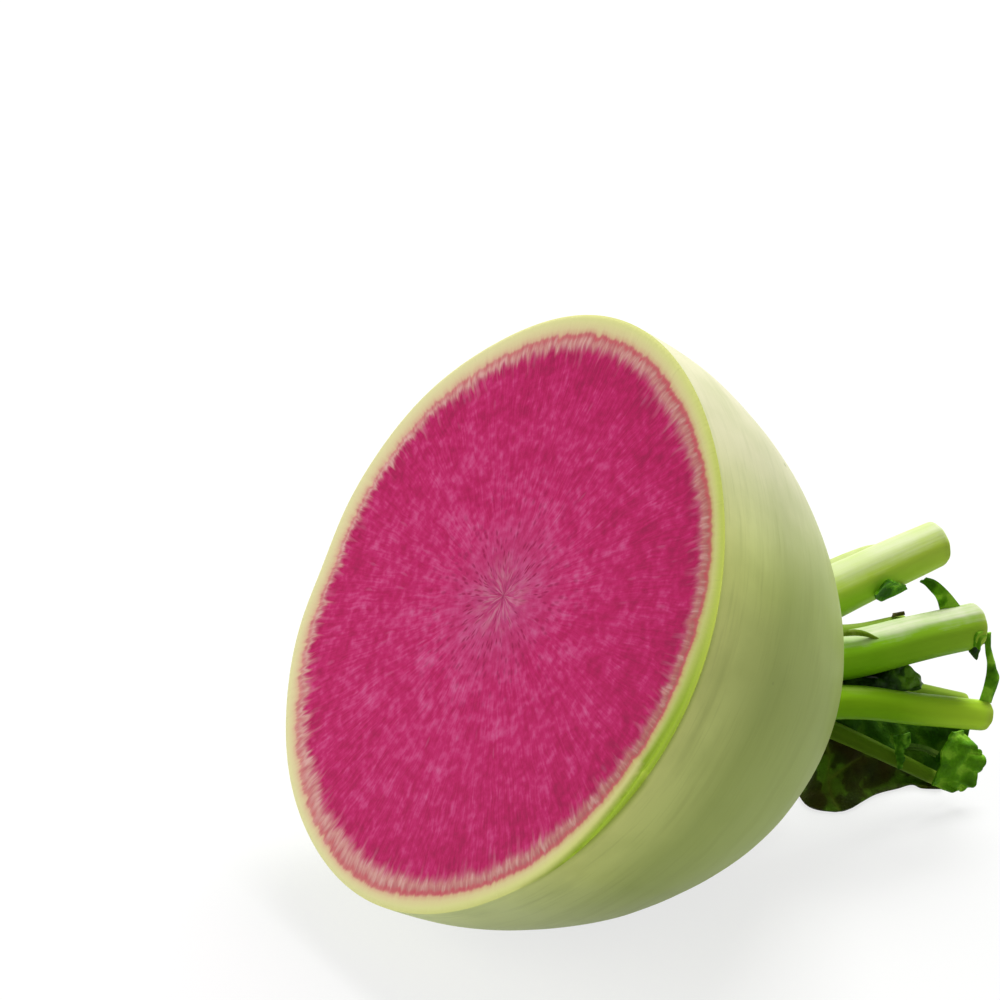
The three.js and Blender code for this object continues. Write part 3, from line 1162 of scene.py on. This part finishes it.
@dataclass(frozen=True)
class Stalk(Growth):
    """One cut leaf stalk: flared where it leaves the crown, faintly ribbed, with a rounded cut end.

    Its root is given across and up the crown, and then the points that it goes through from there, from
    the middle of the crown with world-parallel axes.
    """

    root: tuple[float, float]
    thick: tuple[float, float]
    through: tuple[Point, ...]
    finish: StalkFinish
    slot: Slot = Slot.STALK
    channel: float = 0.0
    scraps: tuple[Sheet, ...] = ()
    ribs: int = 9
    rib_height: float = 0.012
    flare: float = 0.1
    flare_length: float = 2.5
    sides: int = 48
    steps: int = 44
    crowding: float = 1.7
    sunk: float = 2.0
    flatness: float = 0.92
    rounding: float = 0.7
    dish: float = 0.3
    slant: float = 0.1
    bare_share: float = 0.86
    end_zone: float = 1.5

    def guide(self, lie: Lie) -> bpy.types.Object:
        """Makes the curve that the stalk grew along.

        Args:
            lie: how the radish lies.

        Returns:
            The curve's object.
        """
        root = lie.side * self.root[0] + lie.upslope * self.root[1]
        start = root - (Vector(self.through[0]) - root).normalized() * self.sunk
        points = (start, *self.through)
        data = bpy.data.curves.new("spine", "CURVE")
        data.dimensions = "3D"
        data.resolution_u = 24
        data.twist_mode = "Z_UP"
        spline = data.splines.new("BEZIER")
        spline.bezier_points.add(len(points) - 1)
        for knot, place in zip(spline.bezier_points, points):
            knot.co = place
            knot.handle_left_type = knot.handle_right_type = "AUTO"
        guide = bpy.data.objects.new("spine", data)
        bpy.context.scene.collection.objects.link(guide)
        return guide

    def straight(self, length: float) -> bpy.types.Object:
        """Extrudes the stalk straight along x, with its cut end.

        Args:
            length: how long it is.

        Returns:
            The straight stalk, with a section of radius 1.
        """
        upright = (0, math.pi / 2, 0)
        bpy.ops.mesh.primitive_circle_add(vertices=self.sides, radius=1, fill_type="NGON", rotation=upright)
        piece = bpy.context.object
        bpy.ops.object.transform_apply(location=False, rotation=True, scale=False)
        with edit_mode(piece):
            step = {"value": (length / self.steps, 0, 0)}
            for _ in range(self.steps):
                bpy.ops.mesh.extrude_region_move(TRANSFORM_OT_translate=step)
            for width in (0.96, 0.9, 0.8, 0.75, 0.6, 0.4):
                bpy.ops.mesh.extrude_region_move()
                bpy.ops.transform.resize(value=(1, width, width))
            bpy.ops.mesh.poke()
            bpy.ops.mesh.select_all(action="SELECT")
            bpy.ops.mesh.normals_make_consistent(inside=False)
        return piece

    def shape(self, piece: bpy.types.Object, length: float) -> None:
        """Gives the straight stalk its taper, ribs, channel and cut end.

        Args:
            piece: the straight stalk, with a section of radius 1.
            length: how long it is.
        """
        along, y, z = corners(piece).T
        within = np.hypot(y, z)
        angle = np.arctan2(z, y)
        t = 1 - (1 - np.clip(along / length, 0, 1)) ** self.crowding
        x = length * t
        first, last = self.thick
        seed = sum(self.root)
        radius = (first + (last - first) * t) / 2
        radius += self.flare * first * np.exp(-np.maximum(x - self.sunk, 0) / self.flare_length)
        radius *= 1 + self.rib_height * np.cos(self.ribs * angle + seed)
        radius -= self.channel * turn_bell(np.degrees(angle), 90, 24) * smooth_step(1.0, 0.6, t)
        radius *= 1 + 0.04 * lumps(np.column_stack([x / 9, np.cos(angle) + seed, np.sin(angle)]), 1)
        near_end = np.clip((x - length + self.rounding) / self.rounding, 0, 1)
        radius -= 0.7 * self.rounding * (1 - np.sqrt(1 - near_end**2))
        radius *= within
        places = np.column_stack([x, np.cos(angle) * radius, np.sin(angle) * radius * self.flatness])
        places[:, 0] -= self.dish * np.clip((1 - within) / 0.5, 0, 1)
        places[:, 0] += self.slant * places[:, 2] * smooth_step(0.8, 1.0, t)
        move_corners(piece, places)
        ends = 0.7 * smooth_step(-1.8, -0.2, x - length)
        own_place = places + np.array([0, 0, 20 * seed])
        # upper drives the painted highlight along the top and painted shade below.
        store(piece, **{OWN_PLACE: own_place}, along=t, upper=0.5 + 0.5 * np.sin(angle), tip=ends)

    def build(self, lie: Lie, crown: Vector) -> None:
        """Builds, dresses and places the stalk, with the scraps that hang on it.

        Args:
            lie: how the radish lies.
            crown: the middle of its crown.
        """
        guide = self.guide(lie)
        length = guide.data.splines[0].calc_length()
        piece = self.straight(length)
        self.shape(piece, length)
        for finish in (self.finish, CUT_END):
            piece.data.materials.append(finish.build())
        cut_edge = self.bare_share * self.thick[1] / 2
        for polygon in piece.data.polygons:
            x, y, z = polygon.center
            at_end = x > length - self.end_zone and polygon.normal.x > 0.6
            polygon.material_index = int(at_end and math.hypot(y, z) < cut_edge)
        apply_modifier(piece, "CURVE", object=guide, deform_axis="POS_X")
        bpy.data.objects.remove(guide)
        scraps = [sheet.build(1.0 + number) for number, sheet in enumerate(self.scraps)]
        self.set_down([piece, *scraps], crown, self.slot)


@dataclass
class LeafStalks:
    """The ten cut stalks that are left on the crown."""

    lie: Lie
    crown: Vector
    upper: tuple[Stalk, ...] = (
        Stalk(
            "upper_stalk", (7.3, 12.3), (8.8, 6.9),
            ((19.7, 7.6, 12.2), (28.8, 8, 13.7), (37.2, 8.2, 15.1)), PALE, Slot.PALE_STALK,
        ),
        Stalk(
            "upper_rear_stalk", (13.6, 9), (3.6, 1.6),
            ((30.4, 17.3, 11.2), (35.2, 18.7, 10.3)), THIN, Slot.PALE_STALK,
        ),
    )
    torn_sheath: Sheet = Sheet(
        ((10.6, -6.6, 13.2), (12.9, -7, 12.9), (14.9, -7.2, 12.2), (17.2, -7.6, 10.9)),
        ((10.8, -6.3, 13.8), (13.1, -6.6, 13.5), (14.9, -6.8, 12.7), (17, -7.4, 11.2)),
        HUSK, 0.25, bulge=0.2, crinkle=0.03, steps=(40, 10),
    )
    dry_scale: Sheet = Sheet(
        ((24.2, 0.5, 9.6), (25.1, 0.4, 9.7), (26.1, 0.1, 9.8)),
        ((24.7, 1, 9.7), (25.4, 0.8, 9.8), (26.2, 0.5, 9.9)),
        SCORCHED, 0.3, bulge=0.3, crinkle=0.1, steps=(20, 8),
    )
    middle: tuple[Stalk, ...] = (
        Stalk(
            "middle_stalk", (-4.7, 11.8), (7.3, 6.9),
            ((12.6, -5.2, 9.2), (23.6, -6, 9.3), (33.6, -6.7, 9.1)), GREEN,
            channel=0.3, scraps=(torn_sheath,),
        ),
        Stalk(
            "middle_rear_stalk", (1, 14), (2.6, 2.2),
            ((16.7, 0.9, 9), (26.6, 0.7, 8.3)), SHADED_THIN, scraps=(dry_scale,),
        ),
    )
    lower: tuple[Stalk, ...] = (
        Stalk(
            "lower_stalk", (-9.4, 6.6), (5.1, 4.7),
            ((9.7, -9.4, 4.4), (21.3, -10, 0.6), (32.7, -10.7, -3.1)), GRASS, rounding=0.18,
        ),
        Stalk("lower_rear_stalk", (0.8, 8.4), (3, 2), ((24.4, -2.6, -0.1), (35.2, -2.9, -4.8)), SHADED_THIN),
        Stalk(
            "leafy_stalk", (4.5, 2.5), (3.4, 2.1),
            ((14.2, -1, -5.2), (21.1, -4.5, -9.4), (27.6, -7.1, -13.6)), OLIVE,
        ),
        Stalk("ground_leaf_stalk", (1, -9), (4.4, 1.8), ((2.5, 3, -8.5), (10, 4.4, -9.4)), OLIVE),
    )
    far: tuple[Stalk, ...] = (
        Stalk("far_upper_stalk", (12.5, -0.5), (6.4, 5.6), ((9, 14, -4), (17, 16, -6)), GREEN, channel=0.3),
        Stalk("far_lower_stalk", (9, -9), (6, 5.2), ((4, 11, -10.5), (13, 14, -14.6)), GREEN, channel=0.3),
    )

    def build(self) -> None:
        """Builds every stalk."""
        for stalk in (*self.upper, *self.middle, *self.lower, *self.far):
            stalk.build(self.lie, self.crown)


@dataclass
class LeafScraps:
    """The seven scraps of leaf that are left on and between the stalks."""

    crown: Vector
    # Painted dark all over: painted shade for the blade behind the leafy stalk, under the other stalks.
    ruffled_blade: Sheet = Sheet(
        ((14.1, 1.1, -1.8), (17.2, 0.5, -2.6), (21, 0.5, -4.5), (25.9, 0, -6.1), (30.9, -1.7, -7.3),
         (35.3, -4.2, -8.8)),
        ((13.5, -0.2, -6), (16.1, -1.4, -7), (19.3, -2.8, -8.9), (23, -4.5, -11), (26.5, -5.9, -13.1),
         (31.3, -6.6, -15.1)),
        SHADY, crinkle=0.5, crinkle_size=2.6, ruffle=0.5,
    )
    ruffled_margin: Sheet = Sheet(
        ((26.3, -7.9, -13.9), (26.7, -8.3, -11.7), (27.4, -8.2, -9.7), (28.3, -7.8, -8.2),
         (29.8, -7.5, -6.5)),
        ((27.9, -8.2, -14.7), (28.8, -8.4, -15.2), (29.6, -8.7, -15), (30.6, -8.9, -15.7),
         (31.5, -9.1, -15.5), (32.1, -9.2, -14.9), (32.8, -9.3, -14.7), (33.3, -9.1, -14),
         (33.9, -9.1, -13.4), (34, -8.8, -12.9), (34.6, -8.8, -12.3), (34.9, -8.7, -11.3),
         (34.7, -8.3, -10.6), (34, -7.9, -10.3), (33.7, -7.5, -9.8), (33.8, -7.2, -9.1),
         (33.3, -6.5, -8.5), (32.4, -6, -7.7)),
        FRESH, ruffle=0.5, ruffles=4.3, crinkle=0.45, crinkle_size=2,
    )
    small_lobe: Sheet = Sheet(
        ((21, -5.4, -5.7), (21, -5.9, -7.4), (21, -6.4, -8.8), (21, -7, -10.3)),
        ((23.1, -6.5, -5.2), (23, -6.8, -6.7), (22, -6.7, -7.8), (22, -7, -8.9), (21.4, -7.2, -10.1)),
        MIXED, 0.3, bulge=0.3, ruffle=0.2, crinkle=0.25, crinkle_size=1, steps=(36, 24),
    )
    midrib: Sheet = Sheet(
        ((24, -2.9, -9), (26.5, -4.9, -9.1), (28.2, -6.5, -9.9)),
        ((24, -2.9, -9.6), (26.5, -4.9, -9.8), (27.9, -6.3, -10.5)),
        RIB, 0.5, bulge=0.3, crinkle=0.05, steps=(36, 10),
    )
    ground_blade: Sheet = Sheet(
        ((16.5, 6.7, -11), (17.8, 4.1, -9.6), (19.5, 2.6, -10.1), (22.4, 2.1, -12), (25.5, 1.4, -13.8),
         (28.5, -0.3, -15.4), (31.2, -3.6, -15.8)),
        ((12.1, 4.7, -17.6), (11.5, 2.4, -17.6), (11.7, 0.6, -17.6), (12.8, -1, -17.6),
         (14.6, -2.2, -17.6), (16.6, -2.2, -17.6), (18.8, -1.5, -17.6), (22.2, -0.5, -17.6),
         (25.7, -0.6, -17.6), (28, -0.7, -17.6), (28.7, -2.2, -17.6), (31.1, -3.9, -17.6)),
        OLD_AND_SHADED, 0.5, bulge=0.9, crinkle=0.3, crinkle_size=3, vein_width=0.5,
        veins=((0.1, 0.1, 0.2, 0.5), (0.2, 0.5, 0.36, 1.0), (0.22, 0.55, 0.45, 0.15)),
        # The fourth patch darkens the blade along its held edge: painted shade under the stalks.
        patches=(
            (0.08, 0.35, 1.6, 0.5), (0.19, 0.5, 1.4, 0.55), (0.27, 0.66, 1.2, 0.4), (0.3, 0.1, 4, -0.5),
            (0.1, 0.8, 2, -0.4),
        ),
    )
    # Its left part is painted near black, painted shade between the stalks; two patches are painted glints.
    curled_blade: Sheet = Sheet(
        ((10.4, -7.2, 6), (13.6, -7.9, 5.1), (17, -8.7, 4.1), (20, -9.2, 3.4), (22.5, -9.5, 3.4)),
        ((12.3, -4.8, 6.2), (15.3, -5.4, 5.6), (17.9, -6, 5.6), (20.2, -6.3, 6.2), (21.6, -6.7, 6.2),
         (22.8, -7, 5), (23.8, -7.2, 3.5), (24.4, -7.2, 2.4)),
        CURLED, ruffle=0.2, ruffles=2.6, crinkle=0.5, crinkle_size=1.8,
        patches=((0.25, 0.5, 3.5, -0.6), (0.75, 0.6, 1.2, 0.5), (0.66, 0.85, 0.5, 0.9)),
    )
    upper_scrap: Sheet = Sheet(
        ((23.1, 3.1, 12.4), (23.8, 2.8, 13.7), (24.8, 2.8, 14.4), (26.3, 3.1, 13.6), (28.9, 4.1, 11.8)),
        ((24, 4.2, 11), (25.1, 4.7, 10.2), (26.3, 4.7, 10.4), (27.7, 4.7, 10.6), (29.8, 5, 10.9)),
        FRESH, 0.3, bulge=0.25, crinkle=0.1, steps=(40, 20), patches=((0.4, 0.6, 1.4, -0.6),),
    )
    dark_tip: Sheet = Sheet(
        ((30.3, -8.8, 7.7), (31.5, -9.5, 8), (33.2, -9.4, 7.8)),
        ((31.2, -8.8, 6.5), (32.2, -9, 5.1), (32.7, -9.1, 6.4)),
        CURLED, 0.35, bulge=0.3, crinkle=0.15, steps=(30, 20),
    )
    light_curl: Sheet = Sheet(
        ((31.1, -9.9, 7.8), (30.9, -10, 9), (31.3, -10.1, 9.9), (32.3, -10.1, 10)),
        ((32, -10.1, 7.1), (32, -10.2, 8.3), (32.3, -10.2, 8.9), (33, -10.2, 9.1)),
        FRESH, 0.3, bulge=0.35, crinkle=0.05, steps=(30, 16),
    )
    ribbon: Sheet = Sheet(
        ((33.4, -8.9, 9.1), (33.7, -9.1, 6.3), (33.7, -9.6, 4.2), (33.2, -10, 2), (32.3, -10, -1)),
        ((34.4, -8.9, 8.9), (34.5, -9.2, 6.1), (35, -9.9, 3.4), (35.1, -10.5, 1.8), (34, -10.4, -1.5)),
        FRESH, 0.35, bulge=0.35, ruffle=0.06, crinkle=0.06, steps=(70, 14),
    )
    sliver: Sheet = Sheet(
        ((27.1, -1.8, 15.6), (27.6, -2.3, 15.2), (28.1, -3.1, 14.4), (28.6, -3.8, 13.5), (28.9, -4.5, 11.6)),
        ((27.8, -2.2, 16.1), (28.8, -3, 15.8), (29.7, -4, 14.9), (30.5, -4.7, 13.8), (31.5, -5.5, 12.2)),
        FRESH, 0.35, bulge=0.3, crinkle=0.08, steps=(50, 14), patches=((0, 0.5, 2, -0.6), (1, 0.3, 1.5, 0.4)),
    )

    def build(self) -> None:
        """Builds every leaf from its sheets."""
        leaves = (
            Leaf("ruffled_leaf", (self.ruffled_blade, self.ruffled_margin, self.small_lobe, self.midrib)),
            Leaf("ground_leaf", (self.ground_blade,), Slot.DARK_LEAF),
            Leaf("curled_leaflet", (self.curled_blade,), Slot.DARK_LEAF),
            Leaf("upper_leaflet", (self.upper_scrap,)),
            Leaf("middle_leaflet", (self.dark_tip, self.light_curl)),
            Leaf("leaf_ribbon", (self.ribbon,)),
            Leaf("leaf_sliver", (self.sliver,)),
        )
        for leaf in leaves:
            leaf.build(self.crown)


# ---- The studio ----


@dataclass
class Studio:
    """A white sweep with soft light from above and behind the cut face, and the camera."""

    camera_place: Point = (-305.8, -480.6, 320.2)
    camera_turn: Point = (65.0, 0.0, -30.04)
    lens: float = 167.4
    floor_size: float = 8000.0
    paper: float = 0.6
    paper_lift: float = 0.6
    paper_glow: float = 1.25
    sky: float = 0.24
    lamp_distance: float = 900.0
    lamp_target: float = 40.0

    def add_camera(self) -> None:
        """Adds the camera and makes it the scene's."""
        turn = [math.radians(a) for a in self.camera_turn]
        bpy.ops.object.camera_add(location=Vector(self.camera_place) * MM, rotation=turn)
        camera = bpy.context.object
        camera.data.lens = self.lens
        camera.data.sensor_width = 36.0
        camera.data.clip_start = 0.01
        bpy.context.scene.camera = camera

    def add_lamp(self, name: str, heading: Point, size: float, level: float) -> None:
        """Adds a square soft box that points at the radish.

        Args:
            name: the lamp's name.
            heading: where it hangs, as seen from the camera: to the right, further away and up.
            size: the length of its side.
            level: how bright it lights a white surface that faces it, where 1 is white.
        """
        distance = self.lamp_distance * MM
        ahead = Vector((-self.camera_place[0], -self.camera_place[1], 0)).normalized()
        right = ahead.cross(Vector((0, 0, 1)))
        away = (right * heading[0] + ahead * heading[1] + Vector((0, 0, heading[2]))).normalized()
        turn = away.to_track_quat("Z", "Y").to_euler()
        spot = away * distance + Vector((0, 0, self.lamp_target * MM))
        bpy.ops.object.light_add(type="AREA", location=spot, rotation=turn)
        lamp = bpy.context.object
        lamp.name = name
        lamp.data.size = size * MM
        lamp.data.energy = level * (math.pi * distance) ** 2

    def seen_directly(self, add: Adder) -> Node:
        """Tells where the camera, or a reflection, sees a surface and where it only gives light.

        Args:
            add: adds a node to the material or the world.

        Returns:
            A number that is 1 where it is seen and 0 where it only lights.
        """
        path = add("LightPath").outputs
        seen = path["Is Camera Ray"]
        for way in ("Is Glossy Ray", "Is Transmission Ray"):
            seen = add("Math", (seen, path[way]), operation="MAXIMUM")
        return seen

    def add_floor(self) -> None:
        """Adds the pale floor: it shows white, and darker where the radish shades it."""
        bpy.ops.mesh.primitive_plane_add(size=self.floor_size * MM)
        floor = bpy.context.object
        floor.name = "floor"
        material = bpy.data.materials.new("matt white paper")
        material.use_nodes = True
        material.node_tree.nodes.clear()
        add = partial(add_node, material.node_tree)
        paper = add("BsdfDiffuse", {"Color": (self.paper, self.paper, self.paper, 1)})
        lift = (self.seen_directly(add), self.paper_lift)
        lift = add("Math", lift, operation="MULTIPLY")
        glow = add("Emission", {"Color": (1, 1, 1, 1), "Strength": self.paper_glow})
        both = add("MixShader", (lift, paper, glow))
        add("OutputMaterial", {"Surface": both})
        floor.data.materials.append(material)

    def add_sky(self) -> None:
        """Sets the world: soft light all round, seen as white."""
        world = bpy.data.worlds.new("white studio")
        world.use_nodes = True
        world.node_tree.nodes.clear()
        add = partial(add_node, world.node_tree)
        level = add("MapRange", {"Value": self.seen_directly(add), "To Min": self.sky})
        sky = add("Background", {"Color": (1, 1, 1, 1), "Strength": level})
        add("OutputWorld", {"Surface": sky})
        bpy.context.scene.world = world

    def build(self) -> None:
        """Sets up the camera, the floor, the sky and the lamps."""
        bpy.context.scene.view_settings.view_transform = "Standard"
        self.add_camera()
        self.add_floor()
        self.add_sky()
        self.add_lamp("key", (0.2, 0.6, 0.77), 500, 1.15)
        self.add_lamp("side light", (-0.9, -0.25, 0.3), 600, 0.62)
        log.info("studio ready")


def main() -> None:
    """Builds the radish and its studio."""
    logging.basicConfig(level=logging.INFO, format="%(name)s: %(message)s")
    lie = Lie.from_record(frame["record"])
    Studio().build()
    radish = RadishHalf(lie)
    radish.build()
    crown = lie.crown_centre(radish.crown_depth)
    LeafStalks(lie, crown).build()
    LeafScraps(crown).build()


if __name__ == "__main__":
    main()
